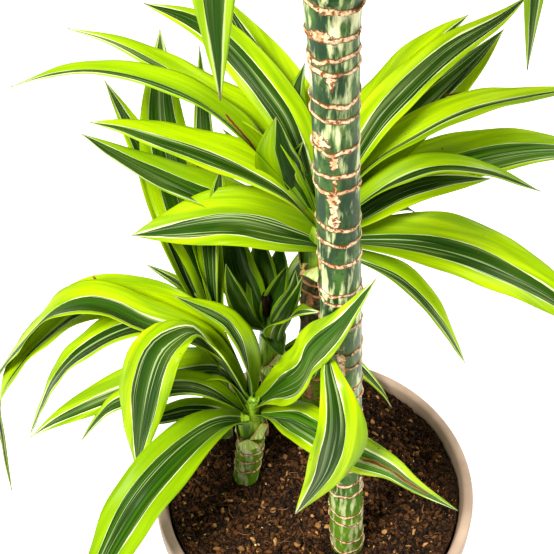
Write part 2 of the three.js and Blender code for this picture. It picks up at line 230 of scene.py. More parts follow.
# %% Leaves of the medium cane
grow_head("medium", core=[(13, 185.3), (12.5, 205), (8, 225), (4, 245), (1.5, 262)], leaves=[
    leaf(220, 168, [(42, 64, 6), (67, 91, 6), (95, 106, 6), (131, 112, 6), (164, 107, 7),
         (201, 88, 5)], 26, dark=(0.15, 0.8), tear=((0.42, -0.25), (0.29, 0))),
    leaf(222, 163, [(40, 64, -6), (76, 86, -8), (108, 104, -6), (136, 115, -5), (167, 119, -4)], 30,
         dark=(0.1, 0.75)),
    leaf(220, 170, [(23, 26, -4), (43, 45, -6), (66, 68, -9)], 20, dark=(-0.2, 0.6), lined_and_lit=0.3),
    leaf(228, 147, [(21, 64, 4), (38, 89, 5), (67, 114, 5), (94, 123, 5), (131, 121, 4)], 34, -20,
         dark=(-0.45, 0.65)),
    leaf(232, 135, [(19, 43, -3), (39, 72, -5), (65, 95, -6), (95, 121, -5)], 40, -15,
         dark=(-0.2, 0.75)),
    leaf(228, 98, [(6, 32, 6), (18, 67, 14), (23, 86, 14), (30, 104, 8)], 24, lined_and_lit=0.3),
    leaf(214, 177, [(21, 39, 7), (46, 60, 7), (76, 75, 6), (119, 88, 3), (144, 91, 2)], 36, -15,
         dark=(-0.05, 0.8)),
    leaf(212, 175, [(24, 9, -3), (55, 20, -3), (86, 35, -2), (123, 56, -2), (153, 76, -2)], 36, -8,
         dark=(-0.25, 0.9)),
    leaf(206, 184, [(11, 13, 5), (40, 30, 8), (58, 35, 8), (79, 32, 6), (125, 18, 2)], 50, -35, 0,
         0.32, dark=(-0.15, 0.65)),
    leaf(208, 186, [(13, 10, -3), (39, 18, -1), (58, 25, -4), (66, 40, -6), (64, 66, -6)], 26, -30,
         -55, dark=(-0.4, 0.7)),
    leaf(226, 215, [(19, 28, -9), (28, 59, -12), (27, 91, -13)], 34, 55, 0, 0.5, dark=(0.05, 0.9),
         lined_and_lit=0.2),
    leaf(224, 240, [(7, 21, -9), (11, 40, -18), (9, 55, -17), (3, 67, -13)], 18, lined_and_lit=0.3),
    leaf(226, 32, [(32, 58, -1), (57, 81), (92, 102, -1), (129, 114, -3), (153, 120)], 31, 15,
         dark=(-0.7, 0.4)),
    leaf(228, 44, [(50, 46, 8), (72, 61, 9), (94, 76, 9), (119, 86, 8), (143, 90, 6)], 38,
         dark=(-0.8, -0.2)),
    leaf(222, 34, [(36, 25, 4), (62, 37, 6), (94, 56, 7), (125, 75, 7), (151, 93, 8)], 42, 10,
         dark=(-0.3, 0.9), tear=((0.67, -0.08), (0.75, -0.83))),
    leaf(218, 20, [(28, 45, -1), (59, 65, -2), (100, 78, -2), (160, 76, -3), (184, 70, -3)], 31,
         dark=(-0.5, -0.05)),
    leaf(215, 11, [(51, 21, 14), (85, 30, 17), (125, 40, 14), (162, 39, 12), (195, 31, 9)], 44, 20,
         dark=(-0.85, 0.25), lined_and_lit=1.5),
    leaf(210, 6, [(27, 38, -7), (49, 55, -6), (74, 63, -6), (107, 57, -8), (143, 37, -8)], 25,
         dark=(-0.75, 0.1), lined_and_lit=0.5),
    leaf(206, 8, [(28, 25, -5), (53, 43, -6), (81, 50, -6), (110, 49, -5)], 32, 10,
         dark=(-0.35, 0.6)),
    leaf(206, 346, [(34, 10), (73, 15), (113, 9), (159, -13), (190, -43)], 50, 20,
         dark=(-0.5, 0.3)),
    leaf(202, 342, [(35, -6), (57, -13), (75, -28), (93, -51), (110, -81)], 26, dark=(-0.7, 0.2)),
    leaf(208, 30, [(30, 8), (56, 14, -11), (70, 5, -15)], 14, lined_and_lit=0.3),
    leaf(205, 186, [(20, 4, -6), (46, 2, -10), (65, -1, -15), (71, -20, -10)], 24, lined_and_lit=0.5),
    arch(226, 86, 220, 55, -20, 28),
    arch(212, 72, 200, 25, -50, 28),
    arch(206, 112, 130, 15, -60, 28),
    arch(204, 54, 120, 15, -60, 28),
])

# %% Leaves of the tall cane
grow_head("tall", core=[(14, 470.3), (14, 500), (11, 530), (5, 560), (1.5, 585)], leaves=[
    leaf(530, 245, [(30, 62), (66, 106), (96, 92), (105, 40), (105, -11, -1), (109, -50, 2)], 46,
         -10, dark=(-0.55, 0.55), lined_and_lit=0.3),
    leaf(510, 8, [(34, 46), (64, 58), (84, 30, 2), (90, -20, 2), (97, -97)], 26, 50, 30, lined_and_lit=0.4),
    *crown(),
])

# %% [markdown]
# ## Working by hand, from code
#
# Operators act on whatever is selected, so every piece starts from an empty selection. When a
# piece is done it rides on the plant's one body, stands for its CAD nodes and gets its finish.

# %% Helpers for modelling
def deselect():
    if bpy.context.object and bpy.context.object.mode != "OBJECT":
        bpy.ops.object.mode_set(mode="OBJECT")
    bpy.ops.object.select_all(action="DESELECT")


def pick(piece):
    """Selects one piece alone and makes it the active one."""
    deselect()
    piece.select_set(True)
    bpy.context.view_layer.objects.active = piece


def added(primitive, **settings):
    """The piece that this operator adds, while nothing else is selected."""
    deselect()
    primitive(**settings)
    return bpy.context.object


def linked(name, data):
    """A new object of the scene, from a mesh, a light or a camera."""
    made = bpy.data.objects.new(name, data)
    bpy.context.scene.collection.objects.link(made)
    return made


def joined(name, points, polygons):
    """One piece from points in millimetres and the corners of its faces."""
    mesh = bpy.data.meshes.new(name)
    mesh.from_pydata([tuple(point) for point in np.asarray(points) * MM], [], polygons)
    return linked(name, mesh)


def editing(piece, elements="VERT"):
    """Opens a piece in edit mode with all of it selected."""
    pick(piece)
    bpy.ops.object.mode_set(mode="EDIT")
    bpy.ops.mesh.select_mode(type=elements)
    bpy.ops.mesh.select_all(action="SELECT")


def end_edit():
    bpy.ops.object.mode_set(mode="OBJECT")


def extrude(right, up):
    """Extrudes what is selected by millimetres to +X and upwards."""
    bpy.ops.mesh.extrude_region_move(TRANSFORM_OT_translate={"value": (right * MM, 0, up * MM)})


def clean_up(piece):
    """Merges doubled points and turns every face outwards."""
    editing(piece)
    bpy.ops.mesh.remove_doubles(threshold=0.01 * MM)
    bpy.ops.mesh.normals_make_consistent(inside=False)
    end_edit()


def settle(piece):
    """Moves a piece's place, turn and scale into its mesh."""
    pick(piece)
    bpy.ops.object.transform_apply(location=True, rotation=True, scale=True)


def modify(piece, kind, **settings):
    """Adds a modifier with these settings and applies it."""
    pick(piece)
    modifier = piece.modifiers.new(kind.title(), kind)
    for setting, value in settings.items():
        setattr(modifier, setting, value)
    bpy.ops.object.modifier_apply(modifier=modifier.name)


print("modelling helpers ready")

# %% Helpers for points and pieces
def points_of(piece):
    """A mesh's points in millimetres, one row each."""
    flat = np.empty(len(piece.data.vertices) * 3)
    piece.data.vertices.foreach_get("co", flat)
    return flat.reshape(-1, 3) / MM


def set_points(piece, points):
    piece.data.vertices.foreach_set("co", (np.asarray(points) * MM).ravel())
    piece.data.update()


def faces_of(piece):
    return [tuple(face.vertices) for face in piece.data.polygons]


def add_attribute(piece, name, values):
    """A vector or a number for each point, which the finish reads by this name."""
    values = np.asarray(values, dtype=float)
    kind, field = ("FLOAT_VECTOR", "vector") if values.ndim == 2 else ("FLOAT", "value")
    piece.data.attributes.new(name, kind, "POINT").data.foreach_set(field, values.ravel())


def finish_piece(piece, name, finish, nodes=()):
    """Names a piece, gives it its finish and enters it in the frame."""
    piece.name = name
    piece.data.name = name
    piece.data.materials.clear()
    piece.data.materials.append(finish.material)
    pick(piece)
    bpy.ops.object.shade_smooth()
    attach(piece, "root")
    if nodes:
        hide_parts(*nodes)
    triangles = sum(len(face.vertices) - 2 for face in piece.data.polygons)
    print(f"{name}: {triangles} triangles")


print("piece helpers ready")

# %% [markdown]
# ## Finishes as Python expressions
#
# A finish is a Principled shader with nodes in front of it. `Wire` wraps one socket, so that
# sums on patterns can be written as `1 - mask` or `across * 6`. `Finish` adds any other node by
# one method that takes its type, its settings and what goes into its sockets. Colours are given
# as on a screen, and `coats` paints one over another, each through a mask of its own.

# %% Colours and the Wire class
def from_hex(code):
    """A colour as written for screens, turned into the linear values that shaders take."""
    parts = [int(code[start:start + 2], 16) / 255 for start in (1, 3, 5)]
    linear = [p / 12.92 if p <= 0.04045 else ((p + 0.055) / 1.055) ** 2.4 for p in parts]
    return (*linear, 1.0)


def maths(operation, swapped=False):
    """A method of a wire that adds one Math node."""

    def method(wire, other=0.0):
        first, second = (other, wire) if swapped else (wire, other)
        return wire.finish.node("Math", {"operation": operation}, {0: first, 1: second})

    return method


class Wire:
    """A value that varies over a surface."""

    def __init__(self, finish, socket):
        self.finish = finish
        self.socket = socket

    def output(self, name):
        return Wire(self.finish, self.socket.node.outputs[name])

    __add__ = __radd__ = maths("ADD")
    __sub__ = maths("SUBTRACT")
    __rsub__ = maths("SUBTRACT", swapped=True)
    __mul__ = __rmul__ = maths("MULTIPLY")
    __abs__ = maths("ABSOLUTE")
    sign = maths("SIGN")
    root = maths("SQRT")
    larger = maths("MAXIMUM")
    smaller = maths("MINIMUM")


print("wire class ready")

# %% The Finish class
class Finish:
    """One material: a Principled shader and the nodes that feed it."""

    def __init__(self, name, constants):
        self.material = bpy.data.materials.new(name)
        self.material.use_nodes = True
        self.tree = self.material.node_tree
        self.shader = self.tree.nodes["Principled BSDF"]
        for socket, value in constants.items():
            self.shader.inputs[socket].default_value = value

    def node(self, kind, settings=None, inputs=None, output=0):
        """Any node by its type, its settings and what goes into its sockets."""
        made = self.tree.nodes.new("ShaderNode" + kind)
        for setting, value in (settings or {}).items():
            setattr(made, setting, value)
        for socket, value in (inputs or {}).items():
            self.plug(made.inputs[socket], value)
        return Wire(self, made.outputs[output])

    def plug(self, socket, value):
        """Puts a wire, a colour's code or a plain value into a socket."""
        if isinstance(value, Wire):
            self.tree.links.new(value.socket, socket)
        else:
            socket.default_value = from_hex(value) if isinstance(value, str) else value

    def rise(self, value, low, high):
        """A smooth mask: 0 up to low and 1 from high on, or the other way round if low is larger."""
        return self.node("MapRange", {"interpolation_type": "SMOOTHSTEP"},
                         {"Value": value, "From Min": low, "From Max": high})

    def noise(self, vector, scale=1.0, detail=2.0):
        """Smooth noise at a place, which may be given as its three parts."""
        if isinstance(vector, tuple):
            vector = self.node("CombineXYZ", {}, dict(enumerate(vector)))
        return self.node("TexNoise", {}, {"Vector": vector, "Scale": scale, "Detail": detail})

    def stretch(self, vector, scale):
        return self.node("Mapping", {}, {"Vector": vector, "Scale": scale})

    def blend(self, mask, first, second):
        """The first colour where the mask is 0 and the second where it is 1."""
        return self.node("Mix", {"data_type": "RGBA"}, {0: mask, 6: first, 7: second}, output=2)

    def coats(self, tone, *layers):
        """A tone with coats painted over it in turn, each a mask and a colour."""
        for mask, colour in layers:
            tone = self.blend(mask, tone, colour)
        return tone

    def attribute(self, name, output="Vector"):
        return self.node("Attribute", {"attribute_name": name}, output=output)

    def place(self):
        return self.node("TexCoord", output="Object")

    def split(self, vector):
        """The three parts of a vector, or of the attribute with this name."""
        if isinstance(vector, str):
            vector = self.attribute(vector)
        first = self.node("SeparateXYZ", {}, {0: vector})
        return first, first.output("Y"), first.output("Z")

    def colour(self, value):
        self.plug(self.shader.inputs["Base Color"], value)

    def roughness(self, value):
        self.plug(self.shader.inputs["Roughness"], value)

    def bump(self, height, distance, strength=1.0):
        raised = self.node("Bump", {}, {"Height": height, "Distance": distance, "Strength": strength})
        self.plug(self.shader.inputs["Normal"], raised)


print("finish class ready")

# %% [markdown]
# ## The pot
#
# The pot is a plain tapered tub with a rounded band along its rim. It is one wall turned about
# the vertical axis: the outline of the wall is extruded point by point from a single vertex
# and then spun a full turn, and a bevel rounds its edges.

# %% Model the pot
POT_STEPS = 128
ROUNDING = 2.6
CORNER = 0.8


def outer_radius(height):
    """Radius of the pot's tapered wall at a height above its foot, without the rim's band."""
    return FOOT_RADIUS + (RIM_RADIUS - BAND_STEP - FOOT_RADIUS) * height / RIM_TOP


def inner_radius(height):
    return outer_radius(height) - WALL


def spun(name, outline, steps):
    """A closed solid of revolution about the Z axis from its outline of (radius, height)."""
    piece = added(bpy.ops.mesh.primitive_plane_add, size=1, location=(0, 0, 0))
    piece.name = name
    editing(piece)
    bpy.ops.mesh.merge(type="CENTER")
    first_radius, first_height = outline[0]
    bpy.ops.transform.translate(value=(first_radius * MM, 0, first_height * MM))
    for (radius, height), (next_radius, next_height) in zip(outline, outline[1:]):
        extrude(next_radius - radius, next_height - height)
    bpy.ops.mesh.select_all(action="SELECT")
    bpy.ops.mesh.spin(steps=steps, angle=2 * math.pi, center=(0, 0, 0), axis=(0, 0, 1))
    end_edit()
    clean_up(piece)
    return piece


band_foot = RIM_TOP - RIM_BAND
mouth = inner_radius(RIM_TOP)
pot = spun("pot_wall", [
    (0, 0),
    (FOOT_RADIUS - 2, 0),
    (FOOT_RADIUS, 2),
    (outer_radius(band_foot), band_foot),
    (RIM_RADIUS - 0.6, band_foot + 1.2),
    (RIM_RADIUS, band_foot + 3),
    (RIM_RADIUS, RIM_TOP - ROUNDING),
    (RIM_RADIUS - CORNER, RIM_TOP - CORNER),
    (RIM_RADIUS - ROUNDING, RIM_TOP),
    (mouth + ROUNDING, RIM_TOP),
    (mouth + CORNER, RIM_TOP - CORNER),
    (mouth, RIM_TOP - ROUNDING),
    (inner_radius(BASE), BASE),
    (0, BASE),
], POT_STEPS)
modify(pot, "BEVEL", width=0.5 * MM, segments=2, limit_method="ANGLE", angle_limit=math.radians(15))
print(f"pot: mouth {2 * mouth:.0f} mm across, {len(pot.data.polygons)} faces")

# %% [markdown]
# Matt taupe plastic has a faint mottle and, inside, a brown tint that deepens just above the soil.

# %% Finish the pot
taupe = Finish("taupe_plastic", {"Specular IOR Level": 0.35})
place = taupe.place()
mottle = taupe.noise(place, scale=38, detail=4)
grain = taupe.noise(place, scale=900, detail=2)
x, y, height = taupe.split(place)
from_axis = (x * x + y * y).root()
inside = taupe.rise(from_axis, (RIM_RADIUS - 4.5) * MM, (RIM_RADIUS - 7) * MM)
near_soil = taupe.rise(height + mottle * 0.008, (SOIL_TOP + 17) * MM, (SOIL_TOP + 8) * MM)
taupe.colour(taupe.coats(
    "#ab9281",
    (taupe.rise(mottle, 0.35, 0.7), "#baa290"),
    # The inside of the wall is tinted brown, most of all just above the soil.
    (inside * (0.05 + 0.6 * near_soil), "#7b6250"),
))
taupe.roughness(0.5 + 0.18 * mottle)
taupe.bump(grain, 0.15 * MM, 0.35)
finish_piece(pot, "pot_wall", taupe, ["pot"])

# %% [markdown]
# ## The potting mix
#
# The mix is a thick disc of soil in the pot's mouth, pushed up and down by smooth noise, with
# loose bark chips, peat fibres and yellow grains lying on it. Each kind of bit is modelled once,
# with few faces, and its copies are scattered by seeded draws.

# %% Model the soil
SOIL_RINGS = 64
SOIL_SIDES = 220
SOIL_GAP = 0.3
SOIL_EDGE = inner_radius(SOIL_TOP) - SOIL_GAP
SOIL_DEPTH = 60
HEAP_WIDTH = 20
HEAP_HEIGHT = 12
LUMP_LIMIT = 15


def lump(x, y):
    """Height of the soil's surface above its level, in millimetres."""
    broad = noise.noise(Vector((x / 34, y / 34, 3.1)))
    clods = noise.fractal(Vector((x / 8.5, y / 8.5, 7.7)), 0.8, 2.1, 4)
    crumbs = noise.fractal(Vector((x / 3.1, y / 3.1, 1.3)), 0.9, 2.0, 2)
    to_wall = min(1, max(0, (math.hypot(x, y) - SOIL_EDGE + HEAP_WIDTH) / HEAP_WIDTH))
    heaped = HEAP_HEIGHT * to_wall ** 2
    return min(LUMP_LIMIT, 3.4 * broad + 3.4 * clods + 1.9 * crumbs - 1.5 + heaped)


soil = added(bpy.ops.mesh.primitive_circle_add, vertices=SOIL_SIDES, radius=SOIL_EDGE * MM,
             fill_type="NGON", location=(0, 0, SOIL_TOP * MM))
editing(soil, "FACE")
for _ in range(SOIL_RINGS):
    bpy.ops.mesh.inset(thickness=SOIL_EDGE * MM / (SOIL_RINGS + 1), depth=0)
bpy.ops.mesh.select_all(action="DESELECT")
bpy.ops.mesh.select_mode(type="EDGE")
bpy.ops.mesh.select_non_manifold(extend=False)
extrude(0, -SOIL_DEPTH)
narrower = (inner_radius(SOIL_TOP - SOIL_DEPTH) - SOIL_GAP) / SOIL_EDGE
bpy.ops.transform.resize(value=(narrower, narrower, 1), center_override=(0, 0, 0))
bpy.ops.mesh.edge_face_add()
end_edit()
settle(soil)
surface = points_of(soil)
for point in surface:
    if point[2] > SOIL_TOP - 1:
        point[2] += lump(point[0], point[1])
set_points(soil, surface)
clean_up(soil)
print(f"soil: {len(surface)} points, {SOIL_DEPTH} mm deep")

# %% Scatter copies on the soil
draw = random.Random(20)
CANE_FEET = [(*cane["foot"], cane["radius"] + 1) for cane in CANES.values()]


def soil_spot(margin):
    """A random place on the soil, off the canes and the pot's wall."""
    while True:
        radius = (SOIL_EDGE - margin) * math.sqrt(draw.random())
        turn = draw.uniform(0, 2 * math.pi)
        x, y = radius * math.cos(turn), radius * math.sin(turn)
        if all(math.hypot(x - fx, y - fy) > fr + margin for fx, fy, fr in CANE_FEET):
            return x, y


def scattered(name, pattern, count, sizes, sink, flat=1.0):
    """Copies of one small shape on the soil, turned every way and sunk by a share of their size."""
    shape = points_of(pattern)
    faces = faces_of(pattern)
    least, most = sizes
    points = []
    polygons = []
    tints = []
    for _ in range(count):
        size = least + (most - least) * draw.random() ** 1.5
        x, y = soil_spot(size)
        turn = Matrix.Rotation(draw.uniform(0, 2 * math.pi), 3, "Z")
        tilt = Matrix.Rotation(draw.uniform(-1, 1) * flat, 3, "X")
        squash = Matrix.Diagonal((size, size * draw.uniform(0.35, 0.9), size * draw.uniform(0.3, 0.7)))
        place = np.array(turn @ tilt @ squash)
        start = len(points)
        middle = np.array((x, y, SOIL_TOP + lump(x, y) + size * sink))
        points.extend(shape @ place.T + middle)
        polygons.extend(tuple(start + corner for corner in face) for face in faces)
        tints.extend([draw.random()] * len(shape))
    piece = joined(name, points, polygons)
    bpy.data.objects.remove(pattern)
    add_attribute(piece, "tint", tints)
    print(f"{name}: {count} copies of {len(faces)} faces")
    return piece


print("feet to keep off:", len(CANE_FEET))

# %% Model the loose bits
chip = added(bpy.ops.mesh.primitive_ico_sphere_add, subdivisions=1, radius=0.5 * MM)
editing(chip)
bpy.ops.mesh.bisect(plane_co=(0, 0, 0.22 * MM), plane_no=(0.2, 0.1, 1), clear_outer=True, use_fill=True)
end_edit()
lumpy = points_of(chip)
lumpy *= 1 + 0.8 * np.array([[noise.noise(Vector(p) * 5)] for p in lumpy])
set_points(chip, lumpy)
chips = scattered("bark_chips", chip, count=6800, sizes=(1.2, 6.4), sink=0.16, flat=1.3)

fibre = added(bpy.ops.mesh.primitive_cylinder_add, vertices=5, radius=0.035 * MM, depth=MM,
              rotation=(0, math.pi / 2, 0))
settle(fibre)
editing(fibre)
for cut in (-0.2, 0.15):
    bpy.ops.mesh.select_all(action="SELECT")
    bpy.ops.mesh.bisect(plane_co=(cut * MM, 0, 0), plane_no=(1, 0, 0))
end_edit()
curled = points_of(fibre)
curled[:, 1] += 0.35 * np.cos(curled[:, 0] * 3) - 0.3
curled[:, 2] += 0.12 * np.sin(curled[:, 0] * 5)
set_points(fibre, curled)
fibres = scattered("peat_fibres", fibre, count=520, sizes=(3, 14), sink=0.03, flat=0.3)

bead = added(bpy.ops.mesh.primitive_ico_sphere_add, subdivisions=1, radius=0.5 * MM)
editing(bead)
bpy.ops.mesh.bevel(offset=0.1 * MM, affect="VERTICES")
end_edit()
grains = scattered("slow_release_grains", bead, count=260, sizes=(0.9, 2.2), sink=0.3, flat=0.9)

# %% [markdown]
# The mix is dark and fibrous: three browns follow noise of two sizes, and each loose bit has a
# shade of its own, from its `tint` attribute. All is rough, apart from the waxy grains.

# %% Finish the potting mix
earth = Finish("potting_mix", {"Roughness": 0.95, "Specular IOR Level": 0.2})
place = earth.place()
coarse = earth.noise(place, scale=330, detail=6)
fine = earth.noise(place, scale=1100, detail=3)
earth.colour(earth.coats(
    "#050201",
    (earth.rise(coarse, 0.44, 0.6), "#3f2410"),
    (0.7 * earth.rise(fine, 0.56, 0.68), "#8a5c2e"),
))
earth.bump(coarse + 0.4 * fine, 5 * MM)

bits = Finish("bark_bits", {"Roughness": 0.9, "Specular IOR Level": 0.25})
tint = bits.attribute("tint", "Fac")
streaks = bits.noise(bits.place(), scale=600, detail=3)
bits.colour(bits.coats(
    "#080301",
    (bits.rise(tint, 0.1, 0.95), "#5f3917"),
    (0.9 * bits.rise(tint, 0.91, 0.99), "#c8955a"),
    (0.4 * bits.rise(streaks, 0.48, 0.7), "#6b4526"),
))
bits.bump(streaks, 1.2 * MM)


def tinted(name, roughness, dark, light, range_of_tint, scale, distance):
    """A finish for small bits that differ only in shade."""
    finish = Finish(name, {"Roughness": roughness})
    tint = finish.attribute("tint", "Fac")
    finish.colour(finish.blend(finish.rise(tint, *range_of_tint), dark, light))
    finish.bump(finish.noise(finish.place(), scale=scale), distance * MM)
    return finish


straw = tinted("peat_straw", 0.85, "#2c190c", "#8a5f36", (0.1, 0.95), scale=900, distance=0.2)
amber = tinted("amber_grain", 0.4, "#b07a16", "#ecd68e", (0.2, 0.9), scale=1500, distance=0.1)
finish_piece(soil, "potting_mix", earth, ["soil"])
finish_piece(chips, "bark_chips", bits)
finish_piece(fibres, "peat_fibres", straw)
finish_piece(grains, "slow_release_grains", amber)

# %% [markdown]
# ## The canes
#
# A cane is a bare trunk. Every leaf that fell left a ring round it, a ragged lip of tan fibre
# that dips to a point. The trunk is a circle extruded upwards, closely at each ring and more
# widely between. The rings are then waved and notched by moving their points up and down, which
# no operator does evenly all round. Each point also stores how far it is from its ring, how deep
# it lies in a tan wound and how high up the cane it is, for the bark's finish to read.

# %% Where the trunks' rows lie
# Compass angles towards the camera and away from it, in degrees from +X.
FRONT = 262
BACK = 82

# A ring's lip: height from its scar, and how far the skin stands proud there.
LIP = [(-2.6, 0.0), (-1.3, 0.05), (-0.7, 0.5), (-0.1, 0.8), (0.5, 0.55), (1.1, 0.1), (2.4, 0.0)]
LIP_REACH = 3.2
BETWEEN = 3.0
CANE_ROOT = -60
LEAST_STEP = 0.2

# Tan wounds of a cane: height, compass angle, half height and half width.
WOUNDS = {
    "tall": [(377, 262, 6, 2.2), (361, 263, 4, 1.2), (352, 258, 5, 3.6), (343, 258, 11, 1.9),
             (336, 258, 4, 3.4), (216, 268, 19, 2.0), (228, 268, 5, 3.4), (203, 268, 4, 2.8),
             (388, 222, 3.5, 6.5), (423, 262, 4.5, 1.2), (425, 262, 1.8, 3.4), (449, 240, 2.6, 6.5),
             (300, 200, 7, 2), (262, 120, 9, 2), (150, 60, 8, 2.4), (404, 30, 9, 2.2), (318, 90, 5, 5),
             (128, 200, 6, 2), (90, 330, 6, 1.8)],
    "medium": [(60, 250, 9, 2.5), (126, 300, 6, 2), (160, 240, 5, 3)],
}


def lip_rows(cane):
    """Heights of the trunk's rows, each with how far its skin stands proud there."""
    scars = np.array(cane["scars"], dtype=float)
    rows = [(scar + step, rise) for scar in scars for step, rise in LIP]
    height = CANE_ROOT
    while height < cane["top"]:
        if np.abs(scars - height).min() > LIP_REACH:
            rows.append((height, 0.0))
        height += BETWEEN if height > -3 else 3 * BETWEEN
    rows.append((cane["top"], 0.0))
    rows.sort()
    following = [*rows[1:], (math.inf, 0)]
    return [row for row, after in zip(rows, following) if after[0] - row[0] > LEAST_STEP]


print("rows of the tall trunk:", len(lip_rows(CANES["tall"])))

# %% Model a trunk
CANE_SIDES = 64
FLARE = 30
RING_REACH = 5
NOTCH_WIDTH = 0.28
COLLAR = 2.4
COLLAR_HEIGHT = 9


def smooth_step(t):
    t = np.clip(t, 0, 1)
    return t * t * (3 - 2 * t)


def apart(angle, other):
    """The shorter way round from one direction to another."""
    return np.angle(np.exp(1j * (angle - other)))


def trunk(name, cane, seed):
    """A cane with its rings, waved and notched by seeded draws."""
    foot_x, foot_y = cane["foot"]
    top = cane["top"]
    piece = added(bpy.ops.mesh.primitive_circle_add, vertices=CANE_SIDES, radius=MM, fill_type="NGON")
    editing(piece)
    rows = lip_rows(cane)
    for low, high in zip(rows, rows[1:]):
        extrude(0, high[0] - low[0])
    end_edit()
    skin = points_of(piece)
    level = skin[:, 2] + rows[0][0]
    heights, rises = np.array(rows).T
    proud = np.interp(level, heights, rises)
    proud *= 1 + 2.2 * smooth_step((level - top + 14) / 8) * (name == "tall")
    angle = np.arctan2(skin[:, 1], skin[:, 0])
    scars = np.array(cane["scars"], dtype=float)
    nearest = np.abs(level[:, None] - scars[None, :]).argmin(axis=1)
    beyond = level - scars[nearest]
    random_turn = np.random.default_rng(seed)
    turns = random_turn.uniform(0, 2 * math.pi, (len(scars), 4))
    deep = random_turn.uniform(0.4, 2.6, len(scars))
    turn = turns[nearest].T
    swing = 0.9 * np.sin(angle + turn[0]) + 0.6 * np.sin(2 * angle + turn[1])
    ragged = 0.3 * np.sin(7 * angle + turn[2]) + 0.22 * np.sin(13 * angle + turn[3])
    notch_at = np.radians(np.where(nearest % 2 == 0, FRONT, BACK)) + 0.5 * np.cos(turn[1])
    notch = -deep[nearest] * np.exp(-((apart(angle, notch_at) / NOTCH_WIDTH) ** 2))
    near = np.clip(1 - np.abs(beyond) / RING_REACH, 0, 1)
    moved = (swing + ragged + notch) * near**0.7
    radius = np.interp(level, [top - FLARE, top], [cane["radius"], cane["top_radius"]])
    thick = 1 + 0.35 * np.sin(3 * angle + turn[1]) + 0.25 * np.sin(5 * angle + turn[2])
    waist = 0.25 * np.cos(2 * angle + turns[0, 0]) + 0.2 * np.sin(level / 37 + turns[0, 1])
    collar = COLLAR * smooth_step((level - top + COLLAR_HEIGHT) / COLLAR_HEIGHT) * (name == "tall")
    wide = radius - 0.25 + waist + proud * thick + collar
    high = level + moved * (level < top - 0.5)
    set_points(piece, np.stack([
        foot_x + cane["lean"] * level + wide * np.cos(angle),
        foot_y + wide * np.sin(angle),
        SOIL_TOP + high,
    ], axis=1))
    clean = np.full(len(skin), -1.0)
    for wound_height, compass, half_height, half_width in WOUNDS.get(name, []):
        round_way = apart(angle, math.radians(compass)) * radius
        inside = 1 - np.hypot((level - wound_height) / half_height, round_way / half_width)
        clean = np.maximum(clean, inside)
    from_ring = np.minimum(np.abs(beyond), RING_REACH)
    add_attribute(piece, "bark", np.stack([from_ring, clean, level], axis=1))
    return piece


print("sides of a trunk:", CANE_SIDES)

# %% [markdown]
# Bark is green with upright streaks of cream, and its rings and wounds are tan fibre with brown
# outlines; round the rings the outline also stands for painted shadow under each lip. The streaks
# come from noise that is stretched along the cane. Each cane has colours of its own, and the
# heights at which the bark turns fresh or bleached are in millimetres.

# %% Finish the canes
def bark_finish(name, deep, light, cream, tan="#c08a5c", straw="#ecd2ae", streaked=0.5, mottled=0.0,
                bleached=0.0):
    bark = Finish(name, {"Specular IOR Level": 0.16})
    place = bark.place()
    beyond, wound, level = bark.split("bark")
    long_grain = bark.noise(bark.stretch(place, (300, 300, 55)), detail=4)
    wide_grain = bark.noise(bark.stretch(place, (130, 130, 30)), detail=3)
    spots = bark.noise(place, scale=420, detail=4)
    wander = bark.noise(place, scale=520, detail=4) - 0.5
    blotch = bark.noise(bark.stretch(place, (85, 85, 36)), detail=5)
    weather = bark.rise(abs(level - 175.0), 85.0, 40.0) * bark.rise(blotch, 0.34, 0.6)
    fresh = bark.rise(level, 105.0, 25.0)
    streak = bark.rise(long_grain + 0.6 * blotch, 0.93 - 0.2 * streaked, 1.1 - 0.2 * streaked)
    pale = bark.rise(blotch + 0.4 * long_grain, 0.76, 0.92)
    flesh = bark.coats(
        deep,
        (bark.rise(wide_grain, 0.38, 0.6), light),
        (0.55 * bark.rise(spots, 0.5, 0.66), "#12260f"),
        (bleached * weather, "#8e9c68"),
        (fresh * 0.75, "#6d9f16"),
        (streak * 0.75, cream),
        (1.3 * streaked * pale, "#e8e6b8"),
        (mottled * bark.rise(spots, 0.45, 0.6), "#4a3a22"),
    )
    girth = bark.noise(place, scale=95, detail=3) - 0.5
    edge = beyond + 1.6 * wander + 3.2 * girth
    fibre = bark.rise(edge, 1.25, 0.8)
    # A brown outline round each ring: partly its own dry edge, partly painted shadow under its lip.
    outline = bark.rise(abs(edge - 1.3), 0.6, 0.15)
    ragged = wound + 1.5 * wander
    torn = bark.rise(ragged, 0.0, 0.12)
    torn_edge = bark.rise(abs(ragged - 0.02), 0.18, 0.04)
    grain = long_grain + 0.8 * wander
    fibre_tone = bark.coats(
        tan,
        (bark.rise(grain, 0.3, 0.7), straw),
        (bark.rise(wander, -0.02, -0.12), "#7a4c2a"),
    )
    bark.colour(bark.coats(
        flesh,
        (outline * 0.85, "#5d3a1e"),
        (fibre, fibre_tone),
        (torn_edge * 0.85, "#6b4424"),
        (torn, fibre_tone),
    ))
    rough = fibre.larger(torn)
    bark.roughness(0.34 + 0.5 * rough)
    bark.bump(0.4 * long_grain + rough * (0.7 + 1.4 * spots), 0.9 * MM)
    return bark


BARKS = {
    "tall": bark_finish("bark_tall", "#15381a", "#406526", "#c3cf92", streaked=0.75, bleached=0.5),
    # Painted shade: the medium cane's brown bark is darkened almost to black, as it stands in the
    # leaves' shade.
    "medium": bark_finish("bark_medium", "#0e0f07", "#26300f", "#7d7a4c", tan="#6d4628", straw="#8f6a48",
                          streaked=0.2, mottled=0.8),
    "middle": bark_finish("bark_middle", "#20360f", "#4b6f22", "#b9bd84", streaked=0.35, mottled=0.3),
    "back": bark_finish("bark_back", "#6f7d40", "#a0ab68", "#dcdcb4", streaked=0.8),
    "short": bark_finish("bark_short", "#438206", "#93ca28", "#eef2b8", tan="#dcae7c", streaked=0.8),
}
for seed, (name, cane) in enumerate(CANES.items()):
    finish_piece(trunk(name, cane, seed), f"trunk_{name}", BARKS[name], [f"cane_{name}"])

